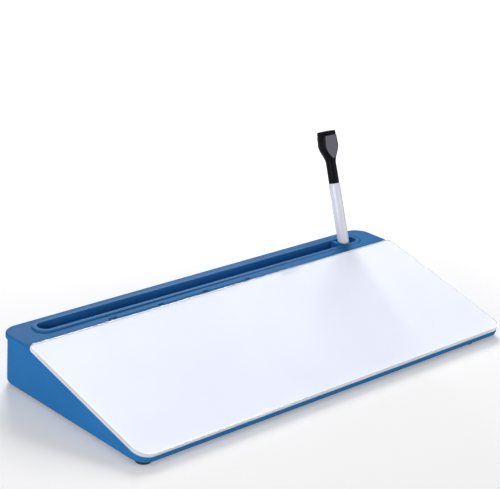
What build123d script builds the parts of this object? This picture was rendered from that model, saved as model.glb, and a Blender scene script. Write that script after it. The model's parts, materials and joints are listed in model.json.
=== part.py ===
from build123d import *
from math import atan2, cos, radians, sin, tan
import os

# A desktop glass whiteboard: a wedge-shaped storage tray closed by a hinged sheet of glass, with a
# pen trough let into the shelf behind it and a marker that leans back in a socket at the trough's end.
# Millimetres and degrees. X runs across the board, Y from its front edge to its rear and Z up.
# The origin lies on the desk, under the middle of the whole outline.

# Driving dimensions of the glass lid
glass_width = 380
glass_depth = 136
glass_thickness = 2.8
glass_front_radius = 12.5
glass_rear_radius = 5
glass_edge_bevel = 0.4
backing_thickness = 0.2
backing_inset = 0.45
tilt = 14.2

# Driving dimensions of the tray
side_overhang = 0.5
front_overhang = 1.0
front_height = 4.15
side_wall = 2.6
front_wall = 4.2
tray_floor = 2.2
front_corner_radius = 12
rear_corner_radius = 14
crease_radius = 10
top_round = 1.2
bottom_bevel = 1.2
lip_overhang = 2.5
lip_height = 3.6
shelf_plate = 2.5
shelf_behind_trough = 6

# Driving dimensions of the compartments
rear_left_length = 293.5
front_left_length = 147
left_front_depth = 52.9
right_front_depth = 46.9
divider_thickness = 1.8
divider_drop = 1
compartment_corner = 2
floor_bevel = 0.8
floor_rib_count = 4
floor_rib_pitch = 12
floor_rib_width = 1
floor_rib_height = 0.8
floor_rib_margin = 4

# Driving dimensions of the ribs under the shelf: the outer two carry the rear feet
shelf_rib_count = 6
shelf_rib_thickness = 1.8
rear_foot_inset = 36.5

# Driving dimensions of the hinge
pin_radius = 1.25
pin_end = 0.75
pin_bevel = 0.25
pin_grip = 0.02
hinge_play = 0.05
axis_behind_glass = 3.2
barrel_radius = 2.65
channel_clearance = 0.35
channel_end_clearance = 1
channel_front_wall = 1.75
gutter_wall = 1.6
gutter_sink = 0.5
barrel_count = 3
barrel_length = 40
lug_width = 4
lug_gap = 0.6
lug_mouth = 2.1
lug_sink = 0.5
notch_clearance = 0.4
crease_behind_axis = 0.7
plate_width = 245
plate_reach = 23.5
plate_thickness = 1.8
plate_corner = 4
plate_wall_gap = 1.5
tape_thickness = 0.2
tape_inset = 1

# Driving dimensions of the pen trough. Its depths count from the top of the shelf, and its rim
# falls from its left end to its right
trough_left_margin = 25
trough_right_margin = 22
trough_slot = 12.8
trough_depth = 10.3
trough_wall = 1.6
trough_floor_round = 3
trough_clearance = 0.2
rim_width = 3.7
rim_left_height = 1.3
rim_right_height = 0.1
rim_sink = 0.8
rim_bevel = 0.6
rim_gap = 2.75
partition_thickness = 3.2
partition_drop = 0.5
end_cell_length = 17.6

# Driving dimensions of the feet
foot_radius = 6
foot_height = 2.5
foot_recess = 1
foot_clearance = 0.2
foot_bevel = 0.6
front_left_foot_inset = 9.6
front_right_foot_inset = 35
front_foot_setback = 9.4
foot_post_wall = 0.9
foot_post_height = 10

# Driving dimensions of the marker, measured along its axis from its tail end
marker_lean = 19
marker_radius = 4.9
marker_gap = 0.3
marker_floor_gap = 0.1
marker_end_margin = 11.75
marker_tail_depth = 19.8
rest_notch = 0.25
socket_wall = 1.8
barrel_wall = 1
tail_length = 9
tail_spigot_length = 8
tail_bevel = 0.8
marker_barrel_length = 62
reservoir_radius = 3.4
nib_plug_length = 8
nib_post_radius = 3.3
nib_post_length = 6.5
nib_cone_radius = 2.4
nib_cone_length = 7
nib_radius = 1.5
nib_bevel = 1
nib_reach = 4
piece_fit = 0.05
cap_mouth_radius = 4.5
cap_neck_radius = 4.4
cap_neck_height = 17.5
cap_head_radius = 9
cap_head_height = 33
cap_top_radius = 8.5
cap_height = 41.2
cap_flare_steps = 4
cap_flat_half_width = 5.1
cap_bore_margin = 1.5
felt_height = 3.6
felt_inset = 0.4

# How far the covers of a cut reach past the piece, how steep a face still counts as a top, and how
# close a place has to be to count as the same
cut_reach = 500
top_face_limit = 0.9
same_place = 0.01

# The lid's own plane: origin under the middle of the glass's front edge, Y up the slope, Z out of
# the glass. The tray's walls carry the lid on this plane.
lid_thickness = glass_thickness + backing_thickness
slope = radians(tilt)
half_width = glass_width / 2 - side_overhang

# Places along Y, first measured from the front edge of the glass
seat_start = lid_thickness * sin(slope)
axis_along = glass_depth + axis_behind_glass
axis_drop = tape_thickness + plate_thickness / 2
axis_depth = seat_start + axis_along * cos(slope) + axis_drop * sin(slope)
channel_radius = barrel_radius + channel_clearance
trough_depth_place = axis_depth + channel_radius + gutter_wall + rim_gap + rim_width + trough_slot / 2
board_depth = trough_depth_place + trough_slot / 2 + rim_width + shelf_behind_trough

# The marker leans back on the rear edge of the trough, and the top of its felt may reach furthest back
lean = radians(marker_lean)
bore_radius = marker_radius + marker_gap
rest_place = trough_depth_place + trough_slot / 2 + rest_notch
tail_place = rest_place - bore_radius / cos(lean) - marker_tail_depth * tan(lean)
marker_length = tail_length + marker_barrel_length + cap_height + felt_height
marker_reach = marker_length * sin(lean) + (cap_flat_half_width - felt_inset) * cos(lean)
overall_depth = max(board_depth, tail_place + marker_reach)

# Places along Y in the part's frame, whose origin is under the middle of the whole outline
front = -overall_depth / 2
tray_front = front + front_overhang
tray_rear = front + board_depth
axis_y = front + axis_depth
trough_y = front + trough_depth_place
inner_front = tray_front + front_wall
inner_rear = axis_y - channel_radius - channel_front_wall
inner_half_width = half_width - side_wall

# Heights
tray_bottom = foot_height
floor_top = tray_bottom + tray_floor


def seat_height(y):
    """Height of the plane that carries the lid, at a place along Y."""
    return tray_bottom + front_height + (y - tray_front) * tan(slope)


seat_y = front + seat_start
lid_plane = Plane(
    origin=(0, seat_y, seat_height(seat_y)), x_dir=(1, 0, 0), z_dir=(0, -sin(slope), cos(slope))
)
lid_axis = Axis(lid_plane.origin, lid_plane.z_dir)
axis_z = seat_height(seat_y) + axis_along * sin(slope) - axis_drop * cos(slope)
crease_y = axis_y + crease_behind_axis
shelf_top = seat_height(crease_y)

# Compartments: each has the places of its left, right, near and far sides
rear_left_end = -inner_half_width + rear_left_length
right_start = rear_left_end + divider_thickness
front_left_end = -inner_half_width + front_left_length
front_middle_start = front_left_end + divider_thickness
left_front_end = inner_front + left_front_depth
left_rear_start = left_front_end + divider_thickness
right_front_end = inner_front + right_front_depth
right_rear_start = right_front_end + divider_thickness
compartments = {
    "rear left": (-inner_half_width, rear_left_end, left_rear_start, inner_rear),
    "rear right": (right_start, inner_half_width, right_rear_start, inner_rear),
    "front left": (-inner_half_width, front_left_end, inner_front, left_front_end),
    "front middle": (front_middle_start, rear_left_end, inner_front, left_front_end),
    "front right": (right_start, inner_half_width, inner_front, right_front_end),
}

# Hinge: its middle lies over the middle of the rear left compartment
hinge_x = -inner_half_width + rear_left_length / 2
lug_pitch = barrel_length + lug_width + 2 * lug_gap
lug_places = [hinge_x + (n - barrel_count / 2) * lug_pitch for n in range(barrel_count + 1)]
barrel_places = [hinge_x + (n - (barrel_count - 1) / 2) * lug_pitch for n in range(barrel_count)]
pin_length = barrel_count * lug_pitch + lug_width + 2 * pin_end
channel_length = pin_length + 2 * channel_end_clearance
plate_rear = (inner_rear - plate_wall_gap - seat_y) / cos(slope)
plate_front = glass_depth - plate_reach

# Feet: their places in plan, with the ribs under the shelf
outer_rib_x = half_width - rear_foot_inset
shelf_rib_pitch = 2 * outer_rib_x / (shelf_rib_count - 1)
foot_places = {
    "front_left": (-glass_width / 2 + front_left_foot_inset, tray_front + front_foot_setback),
    "front_right": (glass_width / 2 - front_right_foot_inset, tray_front + front_foot_setback),
    "rear_left": (-outer_rib_x, trough_y),
    "rear_right": (outer_rib_x, trough_y),
}
rear_foot_places = [foot_places["rear_left"], foot_places["rear_right"]]
foot_post_radius = foot_radius + foot_clearance + foot_post_wall

# Pen trough: its middle, its floor, and the falling plane of its rim
trough_left = -glass_width / 2 + trough_left_margin
trough_right = glass_width / 2 - trough_right_margin
trough_length = trough_right - trough_left
trough_x = (trough_left + trough_right) / 2
trough_floor = shelf_top - trough_depth
partition_top = shelf_top - partition_drop
rim_fall = atan2(rim_left_height - rim_right_height, trough_length + 2 * rim_width)
rim_plane = Plane(
    origin=(trough_x, trough_y, shelf_top + (rim_left_height + rim_right_height) / 2),
    x_dir=(cos(rim_fall), 0, -sin(rim_fall)),
    z_dir=(sin(rim_fall), 0, cos(rim_fall)),
)

# Marker: it rests in a shallow notch of the trough's rear edge, and its tail stands in a slanting
# socket of the tray under the trough's floor
marker_x = trough_right - marker_end_margin
end_cell_x = trough_right - end_cell_length
partition_x = end_cell_x - partition_thickness
marker_plane = Plane(
    origin=(marker_x, front + tail_place, shelf_top - marker_tail_depth),
    x_dir=(1, 0, 0),
    z_dir=(0, sin(lean), cos(lean)),
)
marker_profile_plane = Plane(
    origin=marker_plane.origin, x_dir=marker_plane.x_dir, z_dir=-marker_plane.y_dir
)
marker_axis = Axis(marker_plane.origin, marker_plane.z_dir)
marker_bore_radius = marker_radius - barrel_wall
barrel_end = tail_length + marker_barrel_length


def lid_outline(inset):
    """Outline of the glass on the lid's plane, drawn in by an inset all round."""
    with BuildSketch() as outline:
        with Locations((0, glass_depth / 2)):
            Rectangle(glass_width - 2 * inset, glass_depth - 2 * inset)
        fillet(outline.vertices().group_by(Axis.Y)[0], glass_front_radius - inset)
        fillet(outline.vertices().group_by(Axis.Y)[-1], glass_rear_radius - inset)
    return outline.sketch


def tray_outline(half_width_there, front_there, rear_there, front_radius, rear_radius):
    """Plan outline with one radius at its front corners and another at its rear corners."""
    with BuildSketch() as outline:
        with Locations((0, (front_there + rear_there) / 2)):
            Rectangle(2 * half_width_there, rear_there - front_there)
        fillet(outline.vertices().group_by(Axis.Y)[0], front_radius)
        fillet(outline.vertices().group_by(Axis.Y)[-1], rear_radius)
    return outline.sketch


def trough_outline(margin):
    """Round-ended outline of the pen trough's opening, let out by a margin all round."""
    with BuildSketch() as outline:
        with Locations((trough_x, trough_y)):
            SlotOverall(trough_length + 2 * margin, trough_slot + 2 * margin)
    return outline.sketch


def right_of(x):
    """Plan rectangle that covers the trough's right end from a place along X."""
    with BuildSketch() as area:
        with Locations((x, trough_y)):
            Rectangle(cut_reach, cut_reach, align=(Align.MIN, Align.CENTER))
    return area.sketch


def flare_radius(share):
    """Radius of the cap's flare at a share of its height: it starts and ends along the axis."""
    eased = share * share * (3 - 2 * share)
    return cap_neck_radius + (cap_head_radius - cap_neck_radius) * eased


# Tray body, one moulding
with BuildPart() as tray_body:
    # Wedge: the plan outline, with the shelf's lip standing out at the rear, cut to the side profile
    with BuildSketch(Plane.XY.offset(tray_bottom)):
        add(tray_outline(
            half_width, tray_front, tray_rear - lip_overhang, front_corner_radius, rear_corner_radius
        ))
    extrude(amount=shelf_top - tray_bottom)
    with BuildSketch(Plane.XY.offset(shelf_top - lip_height)):
        add(tray_outline(half_width, crease_y, tray_rear, top_round, rear_corner_radius))
    extrude(amount=lip_height)
    with BuildSketch(Plane.YZ):
        with BuildLine():
            Polyline(
                (tray_front, tray_bottom),
                (tray_front, seat_height(tray_front)),
                (crease_y, shelf_top),
                (tray_rear, shelf_top),
                (tray_rear, tray_bottom),
                close=True,
            )
        make_face()
    extrude(amount=half_width, both=True, mode=Mode.INTERSECT)

    # Rounded and bevelled edges of the wedge
    crease = tray_body.edges().filter_by(Axis.X).sort_by_distance((0, crease_y, shelf_top))[0]
    fillet(crease, crease_radius)
    top_faces = tray_body.faces().filter_by(lambda face: face.normal_at().Z > top_face_limit)
    cross_edges = top_faces.edges().filter_by(Axis.X)
    creases = cross_edges.filter_by_position(
        Axis.Y, tray_front + same_place, tray_rear - same_place
    )
    fillet(top_faces.edges() - creases, top_round)
    chamfer(tray_body.faces().sort_by(Axis.Z)[0].edges(), bottom_bevel)

    # Compartments
    inner_corner = front_corner_radius - side_wall
    with BuildSketch(Plane.XY.offset(floor_top)) as bays:
        for left, right, near, far in compartments.values():
            with Locations(((left + right) / 2, (near + far) / 2)):
                Rectangle(right - left, far - near)
        fillet(bays.vertices(), compartment_corner)
        add(
            tray_outline(
                inner_half_width, inner_front, inner_rear, inner_corner, compartment_corner
            ),
            mode=Mode.INTERSECT,
        )
    extrude(amount=shelf_top, mode=Mode.SUBTRACT)
    floors = tray_body.faces().filter_by_position(
        Axis.Z, floor_top - same_place, floor_top + same_place
    )
    chamfer(floors.edges(), floor_bevel)

    # Tops of the dividers, lower than the walls that carry the lid, cut clear of the round corners
    relief_front = (inner_front - seat_y) / cos(slope)
    relief_rear = (inner_rear - seat_y) / cos(slope)
    with BuildSketch(lid_plane.offset(-divider_drop)):
        for relief_half_width, relief_start in (
            (inner_half_width - inner_corner, relief_front),
            (inner_half_width, relief_front + 2 * inner_corner),
        ):
            with Locations((0, (relief_start + relief_rear) / 2)):
                Rectangle(2 * relief_half_width, relief_rear - relief_start)
    extrude(amount=shelf_top, dir=(0, 0, 1), mode=Mode.SUBTRACT)

    # Low ribs along the floors of the front compartments
    with BuildSketch(Plane.XY.offset(floor_top)):
        for name in ("front left", "front middle", "front right"):
            left, right, near, far = compartments[name]
            with Locations(((left + right) / 2, (near + far) / 2)):
                with GridLocations(0, floor_rib_pitch, 1, floor_rib_count):
                    Rectangle(right - left - 2 * floor_rib_margin, floor_rib_width)
    extrude(amount=floor_rib_height)

    # Hollow under the shelf, open below, with cross ribs
    hollow_front = inner_rear + side_wall
    hollow_rear = tray_rear - lip_overhang - side_wall
    with BuildSketch(Plane.XY.offset(tray_bottom)):
        add(tray_outline(
            inner_half_width, hollow_front, hollow_rear,
            compartment_corner, rear_corner_radius - side_wall
        ))
        with Locations((0, (hollow_front + hollow_rear) / 2)):
            with GridLocations(shelf_rib_pitch, 0, shelf_rib_count, 1):
                Rectangle(shelf_rib_thickness, hollow_rear - hollow_front, mode=Mode.SUBTRACT)
    extrude(amount=shelf_top - tray_bottom - shelf_plate, mode=Mode.SUBTRACT)

    # Gutter under the hinge, and the channel in it
    gutter_radius = channel_radius + gutter_wall
    with BuildSketch(Plane.YZ.offset(hinge_x - channel_length / 2 - gutter_wall)):
        with Locations((axis_y, axis_z)):
            Circle(gutter_radius)
        with Locations((axis_y, shelf_top - shelf_plate + gutter_sink)):
            Rectangle(
                2 * gutter_radius, 2 * gutter_radius, align=(Align.CENTER, Align.MIN),
                mode=Mode.SUBTRACT
            )
    extrude(amount=channel_length + 2 * gutter_wall)
    with BuildSketch(Plane.YZ.offset(hinge_x - channel_length / 2)):
        with Locations((axis_y, axis_z)):
            Circle(channel_radius)
            Rectangle(2 * channel_radius, shelf_top, align=(Align.CENTER, Align.MIN))
    extrude(amount=channel_length, mode=Mode.SUBTRACT)

    # Notches that let the hinge plate's arms over the compartments' rear wall
    notch_front = plate_rear - plate_wall_gap
    with BuildSketch(lid_plane.offset(-tape_thickness - plate_thickness - notch_clearance)):
        for barrel_x in barrel_places:
            with Locations((barrel_x, notch_front)):
                Rectangle(
                    barrel_length + 2 * lug_gap, axis_along - notch_front,
                    align=(Align.CENTER, Align.MIN)
                )
    extrude(amount=channel_radius, mode=Mode.SUBTRACT)

    # Snap lugs that hold the pin
    with BuildSketch(*[Plane.YZ.offset(lug_x - lug_width / 2) for lug_x in lug_places]):
        with Locations((axis_y, axis_z)):
            Circle(barrel_radius)
            Rectangle(
                2 * barrel_radius, channel_radius + lug_sink, align=(Align.CENTER, Align.MAX)
            )
            Circle(pin_radius + hinge_play, mode=Mode.SUBTRACT)
            Rectangle(
                lug_mouth, 2 * barrel_radius, align=(Align.CENTER, Align.MIN), mode=Mode.SUBTRACT
            )
    extrude(amount=lug_width)

    # Posts for the rear feet, the slanting socket of the marker, then the opening for the pen trough
    # through the shelf and its ribs
    with BuildSketch(Plane.XY.offset(tray_bottom)):
        with Locations(*rear_foot_places):
            Circle(foot_post_radius)
    extrude(amount=foot_post_height)
    with BuildSketch(Plane.XY.offset(floor_top)):
        with Locations(*rear_foot_places):
            Circle(foot_post_radius - divider_thickness)
    extrude(amount=foot_post_height, mode=Mode.SUBTRACT)
    with BuildSketch(marker_plane.offset(-marker_floor_gap - socket_wall)):
        Circle(bore_radius + socket_wall)
    extrude(amount=marker_tail_depth)
    with BuildSketch(marker_plane.offset(-marker_floor_gap)):
        Circle(bore_radius)
    extrude(amount=shelf_top, mode=Mode.SUBTRACT)
    with BuildSketch(Plane.XY.offset(trough_floor - trough_wall - trough_clearance)):
        add(trough_outline(trough_wall + trough_clearance))
    extrude(amount=shelf_top, mode=Mode.SUBTRACT)
    with BuildSketch(Plane.XY.offset(shelf_top - rim_sink)):
        add(trough_outline(rim_width + trough_clearance))
    extrude(amount=shelf_top, mode=Mode.SUBTRACT)

    # Recesses for the feet
    with BuildSketch(Plane.XY.offset(tray_bottom)):
        with Locations(*foot_places.values()):
            Circle(foot_radius + foot_clearance)
    extrude(amount=foot_recess, mode=Mode.SUBTRACT)


# Pen trough, dropped into the shelf and hung by its rim
with BuildPart() as pen_trough:
    with BuildSketch(Plane.XY.offset(shelf_top - rim_sink)):
        add(trough_outline(rim_width))
    extrude(amount=rim_sink + rim_left_height)
    split(bisect_by=rim_plane, keep=Keep.BOTTOM)
    rim_top_face = pen_trough.faces().sort_by(Axis.Z)[-1]
    chamfer(rim_top_face.edges(), rim_bevel)
    with BuildSketch(Plane.XY.offset(trough_floor - trough_wall)):
        add(trough_outline(trough_wall))
    extrude(amount=trough_depth + trough_wall - rim_sink)

    # Trough
    with BuildSketch(Plane.XY.offset(trough_floor)):
        add(trough_outline(0))
        add(right_of(partition_x), mode=Mode.SUBTRACT)
    extrude(amount=trough_depth + rim_left_height, mode=Mode.SUBTRACT)
    trough_floor_face = pen_trough.faces().filter_by_position(
        Axis.Z, trough_floor - same_place, trough_floor + same_place
    )
    fillet(trough_floor_face.edges(), trough_floor_round)

    # Cell of the marker, and the slanting hole for it
    with BuildSketch(Plane.XY.offset(trough_floor)):
        add(trough_outline(0))
        add(right_of(end_cell_x), mode=Mode.INTERSECT)
    extrude(amount=trough_depth + rim_left_height, mode=Mode.SUBTRACT)
    with BuildSketch(marker_plane):
        Circle(bore_radius)
    extrude(amount=shelf_top, mode=Mode.SUBTRACT)

    # Top of the partition between them
    with BuildSketch(Plane.XY.offset(partition_top)):
        with Locations((partition_x, trough_y)):
            Rectangle(partition_thickness, trough_slot, align=(Align.MIN, Align.CENTER))
    extrude(amount=partition_drop + rim_left_height, mode=Mode.SUBTRACT)


# Glass lid: the sheet, its white backing, the tape and the hinge plate under it
with BuildPart() as glass_panel:
    with BuildSketch(lid_plane.offset(backing_thickness)):
        add(lid_outline(0))
    extrude(amount=glass_thickness)
    broad_faces = glass_panel.faces().sort_by(lid_axis)
    chamfer(broad_faces[0].edges() + broad_faces[-1].edges(), glass_edge_bevel)

with BuildPart() as white_backing:
    with BuildSketch(lid_plane):
        add(lid_outline(backing_inset))
    extrude(amount=backing_thickness)

with BuildPart() as hinge_tape:
    with BuildSketch(lid_plane.offset(-tape_thickness)):
        with Locations((hinge_x, (plate_front + plate_rear) / 2)):
            RectangleRounded(
                plate_width - 2 * tape_inset, plate_rear - plate_front - 2 * tape_inset,
                plate_corner - tape_inset
            )
    extrude(amount=tape_thickness)

with BuildPart() as hinge_plate:
    with BuildSketch(lid_plane.offset(-tape_thickness - plate_thickness)):
        with Locations((hinge_x, (plate_front + plate_rear) / 2)):
            RectangleRounded(plate_width, plate_rear - plate_front, plate_corner)
        for barrel_x in barrel_places:
            with Locations((barrel_x, plate_rear - plate_corner)):
                Rectangle(
                    barrel_length, axis_along - plate_rear + plate_corner,
                    align=(Align.CENTER, Align.MIN)
                )
    extrude(amount=plate_thickness)
    with BuildSketch(*[Plane.YZ.offset(barrel_x - barrel_length / 2) for barrel_x in barrel_places]):
        with Locations((axis_y, axis_z)):
            Circle(barrel_radius)
    extrude(amount=barrel_length)
    with BuildSketch(Plane.YZ.offset(hinge_x - pin_length / 2)):
        with Locations((axis_y, axis_z)):
            Circle(pin_radius + pin_grip)
    extrude(amount=pin_length, mode=Mode.SUBTRACT)

with BuildPart() as hinge_pin:
    with BuildSketch(Plane.YZ.offset(hinge_x - pin_length / 2)):
        with Locations((axis_y, axis_z)):
            Circle(pin_radius)
    extrude(amount=pin_length)
    chamfer(hinge_pin.edges(), pin_bevel)


def rubber_foot(x, y):
    """One foot, seated in its recess in the tray and standing on the desk."""
    with BuildPart() as foot:
        with BuildSketch():
            with Locations((x, y)):
                Circle(foot_radius)
        extrude(amount=foot_height + foot_recess)
        chamfer(foot.edges().group_by(Axis.Z)[0], foot_bevel)
    return foot


# Marker, built along its leaning axis
with BuildPart() as marker_tail_plug:
    with BuildSketch(marker_plane):
        Circle(marker_radius)
    extrude(amount=tail_length)
    chamfer(marker_tail_plug.faces().sort_by(marker_axis)[0].edges(), tail_bevel)
    with BuildSketch(marker_plane.offset(tail_length)):
        Circle(marker_bore_radius - piece_fit)
    extrude(amount=tail_spigot_length)

with BuildPart() as marker_barrel:
    with BuildSketch(marker_plane.offset(tail_length)):
        Circle(marker_radius)
        Circle(marker_bore_radius, mode=Mode.SUBTRACT)
    extrude(amount=marker_barrel_length)

with BuildPart() as ink_reservoir:
    with BuildSketch(marker_plane.offset(tail_length + tail_spigot_length)):
        Circle(reservoir_radius)
    extrude(amount=marker_barrel_length - tail_spigot_length - nib_plug_length)

with BuildPart() as nib_section:
    with BuildSketch(marker_profile_plane):
        with BuildLine():
            Polyline(
                (nib_radius + piece_fit, barrel_end - nib_plug_length),
                (marker_bore_radius - piece_fit, barrel_end - nib_plug_length),
                (marker_bore_radius - piece_fit, barrel_end),
                (nib_post_radius, barrel_end),
                (nib_post_radius, barrel_end + nib_post_length),
                (nib_cone_radius, barrel_end + nib_post_length + nib_cone_length),
                (nib_radius + piece_fit, barrel_end + nib_post_length + nib_cone_length),
                close=True,
            )
        make_face()
    revolve(axis=marker_axis)

with BuildPart() as nib:
    nib_start = barrel_end - nib_plug_length
    nib_end = barrel_end + nib_post_length + nib_cone_length + nib_reach
    with BuildSketch(marker_plane.offset(nib_start)):
        Circle(nib_radius)
    extrude(amount=nib_end - nib_start)
    chamfer(nib.faces().sort_by(marker_axis)[-1].edges(), nib_bevel)

with BuildPart() as marker_cap:
    # Stem that flares into a round head, with its own bore for the nib
    neck_end = barrel_end + cap_neck_height
    head_end = barrel_end + cap_head_height
    cap_end = barrel_end + cap_height
    bore_shoulder = barrel_end + nib_post_length
    shares = [step / cap_flare_steps for step in range(cap_flare_steps + 1)]
    flare = [(flare_radius(share), neck_end + share * (head_end - neck_end)) for share in shares]
    with BuildSketch(marker_profile_plane):
        with BuildLine():
            Polyline(
                (nib_post_radius + piece_fit, barrel_end),
                (cap_mouth_radius, barrel_end),
                *flare,
                (cap_top_radius, cap_end),
                (0, cap_end),
                (0, nib_end + cap_bore_margin),
                (nib_cone_radius + piece_fit, nib_end),
                (nib_cone_radius + piece_fit, bore_shoulder + nib_cone_length),
                (nib_post_radius + piece_fit, bore_shoulder),
                close=True,
            )
        make_face()
    revolve(axis=marker_axis)
    # Two flats across the head
    with BuildSketch(marker_plane.offset(barrel_end)):
        Rectangle(cut_reach, 2 * cap_flat_half_width)
    extrude(amount=cap_height, mode=Mode.INTERSECT)

with BuildPart() as eraser_felt:
    with BuildSketch(marker_plane.offset(barrel_end + cap_height)):
        Circle(cap_top_radius - felt_inset)
        Rectangle(cut_reach, 2 * (cap_flat_half_width - felt_inset), mode=Mode.INTERSECT)
    extrude(amount=felt_height)


pieces = {
    "tray_body": tray_body,
    "pen_trough": pen_trough,
    "glass_panel": glass_panel,
    "white_backing": white_backing,
    "hinge_tape": hinge_tape,
    "hinge_plate": hinge_plate,
    "hinge_pin": hinge_pin,
    "marker_tail_plug": marker_tail_plug,
    "marker_barrel": marker_barrel,
    "ink_reservoir": ink_reservoir,
    "nib_section": nib_section,
    "nib": nib,
    "marker_cap": marker_cap,
    "eraser_felt": eraser_felt,
}
for corner, place in foot_places.items():
    pieces[f"foot_{corner}"] = rubber_foot(*place)

os.makedirs("parts", exist_ok=True)
for name, piece in pieces.items():
    piece.part.label = name
    export_step(piece.part, f"parts/{name}.step")
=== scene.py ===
"""Desktop glass whiteboard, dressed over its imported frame.

Everything is in metres, in the frame's own axes: X runs across the board, Y from its front edge to
its rear and Z up. Places come from the boxes of the frame's nodes.
"""

from __future__ import annotations

import json
import logging
from abc import ABC, abstractmethod
from dataclasses import dataclass
from enum import Enum
from math import cos, pi, radians, sin

import bmesh
import bpy
import numpy as np
from mathutils import Matrix, Vector

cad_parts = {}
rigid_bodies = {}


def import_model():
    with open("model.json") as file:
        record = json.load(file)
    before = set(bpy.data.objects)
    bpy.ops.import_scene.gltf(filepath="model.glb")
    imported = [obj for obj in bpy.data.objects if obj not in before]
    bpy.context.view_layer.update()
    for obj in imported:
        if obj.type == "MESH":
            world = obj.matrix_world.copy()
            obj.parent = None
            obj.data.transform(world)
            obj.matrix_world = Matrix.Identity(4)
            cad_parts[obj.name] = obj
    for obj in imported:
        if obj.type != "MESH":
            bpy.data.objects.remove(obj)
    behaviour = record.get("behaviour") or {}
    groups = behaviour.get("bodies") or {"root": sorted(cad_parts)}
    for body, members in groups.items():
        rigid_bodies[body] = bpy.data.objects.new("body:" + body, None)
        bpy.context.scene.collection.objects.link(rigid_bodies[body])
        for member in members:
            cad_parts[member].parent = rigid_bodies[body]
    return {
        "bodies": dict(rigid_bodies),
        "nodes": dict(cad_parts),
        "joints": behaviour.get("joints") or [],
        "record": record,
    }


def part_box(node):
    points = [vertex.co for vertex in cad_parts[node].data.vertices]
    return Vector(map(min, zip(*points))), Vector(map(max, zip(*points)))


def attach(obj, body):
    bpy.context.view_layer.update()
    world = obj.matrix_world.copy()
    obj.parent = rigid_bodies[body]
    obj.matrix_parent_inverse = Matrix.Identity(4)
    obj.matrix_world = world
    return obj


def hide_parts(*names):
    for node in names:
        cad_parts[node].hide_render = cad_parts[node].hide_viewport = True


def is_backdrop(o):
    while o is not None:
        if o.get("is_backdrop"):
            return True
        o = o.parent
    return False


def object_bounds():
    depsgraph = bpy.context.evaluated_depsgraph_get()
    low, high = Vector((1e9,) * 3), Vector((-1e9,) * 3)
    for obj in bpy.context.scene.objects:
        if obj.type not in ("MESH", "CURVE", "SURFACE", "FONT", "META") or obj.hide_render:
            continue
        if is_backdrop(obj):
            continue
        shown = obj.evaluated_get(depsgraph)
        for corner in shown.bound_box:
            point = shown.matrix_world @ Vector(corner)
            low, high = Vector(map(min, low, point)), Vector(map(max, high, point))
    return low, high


MM = 0.001
SAME_PLACE = MM / 1000
# Point attribute for a second look: on the glass a ground edge, on the cap a painted sheen on its
# flats
SECOND_FINISH = "second_finish"
LOG = logging.getLogger("whiteboard")

# Angle in degrees from which an edge stays sharp, unless a piece says another
SHARP_FROM = 40

# Straight runs on a quarter of a rounded edge, for larger and for smaller edges
FINE = 6
COARSE = 4

Colour = tuple[float, float, float]
Profile = list[tuple[float, float]]


class Body(Enum):
    """Moving bodies of the frame."""

    TRAY = "tray"
    LID = "lid"
    MARKER = "marker"
    CAP = "cap"


# Surfaces worked out with numpy


def arc(centre: tuple[float, float], radius: float, start: float, end: float, steps: int) -> Profile:
    """Points along an arc: the centre plus the radius at evenly spaced angles.

    Args:
        centre: Middle of the arc.
        radius: Its radius.
        start: First angle in degrees.
        end: Last angle in degrees.
        steps: Number of straight runs between the points.

    Returns:
        The points, ends included.
    """
    angles = np.radians(np.linspace(start, end, steps + 1))
    x = centre[0] + radius * np.cos(angles)
    y = centre[1] + radius * np.sin(angles)
    return list(zip(x.tolist(), y.tolist()))


def turned_grid(profile: Profile, sides: int) -> np.ndarray:
    """Surface of revolution: each profile point (radius, height) goes round the Z axis.

    Args:
        profile: Radius and height of each ring.
        sides: Points on a ring.

    Returns:
        Grid of shape (rings, sides, 3).
    """
    radius, height = np.array(profile).T
    angle = np.linspace(0, 2 * pi, sides, endpoint=False)
    x = radius[:, None] * np.cos(angle)
    y = radius[:, None] * np.sin(angle)
    z = np.repeat(height[:, None], sides, axis=1)
    return np.stack([x, y, z], axis=-1)


def pressed_flat(grid: np.ndarray, half_width: float, softness: float) -> np.ndarray:
    """Presses a turned form between two flats: Y follows a soft limit at the half width.

    The limit is half the sum of |y| and the half width, less half the root of their squared
    difference plus the squared softness, so it stays below both.

    Args:
        grid: Points of the form.
        half_width: Distance of each flat from the axis.
        softness: How far from the flat's border the rounding starts.

    Returns:
        The pressed grid.
    """
    pressed = grid.copy()
    reach = np.abs(grid[..., 1])
    gap = np.sqrt((reach - half_width) ** 2 + softness ** 2)
    limited = (reach + half_width - gap) / 2
    floor = (half_width - np.sqrt(half_width ** 2 + softness ** 2)) / 2
    pressed[..., 1] = np.sign(grid[..., 1]) * (limited - floor)
    return pressed


def rounded_outline(
    width: float, depth: float, front_radius: float, rear_radius: float, steps: int
) -> tuple[np.ndarray, np.ndarray]:
    """Rectangle with round corners: four quarter circles in turn, joined by straight sides.

    Args:
        width: Size along X.
        depth: Size along Y, from Y = 0.
        front_radius: Radius of the two corners at Y = 0.
        rear_radius: Radius of the two corners at the far side.
        steps: Straight runs on each corner.

    Returns:
        Points and outward directions, both of shape (points, 2).
    """
    corners = (
        (width / 2, depth, rear_radius, 0),
        (-width / 2, depth, rear_radius, 90),
        (-width / 2, 0, front_radius, 180),
        (width / 2, 0, front_radius, 270),
    )
    points, outward = [], []
    for x, y, radius, start in corners:
        angle = np.radians(np.linspace(start, start + 90, steps + 1))
        direction = np.stack([np.cos(angle), np.sin(angle)], axis=1)
        inward = np.array([np.sign(x), 1 if y else -1]) * radius
        points.append(np.array([x, y]) - inward + radius * direction)
        outward.append(direction)
    return np.concatenate(points), np.concatenate(outward)


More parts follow.
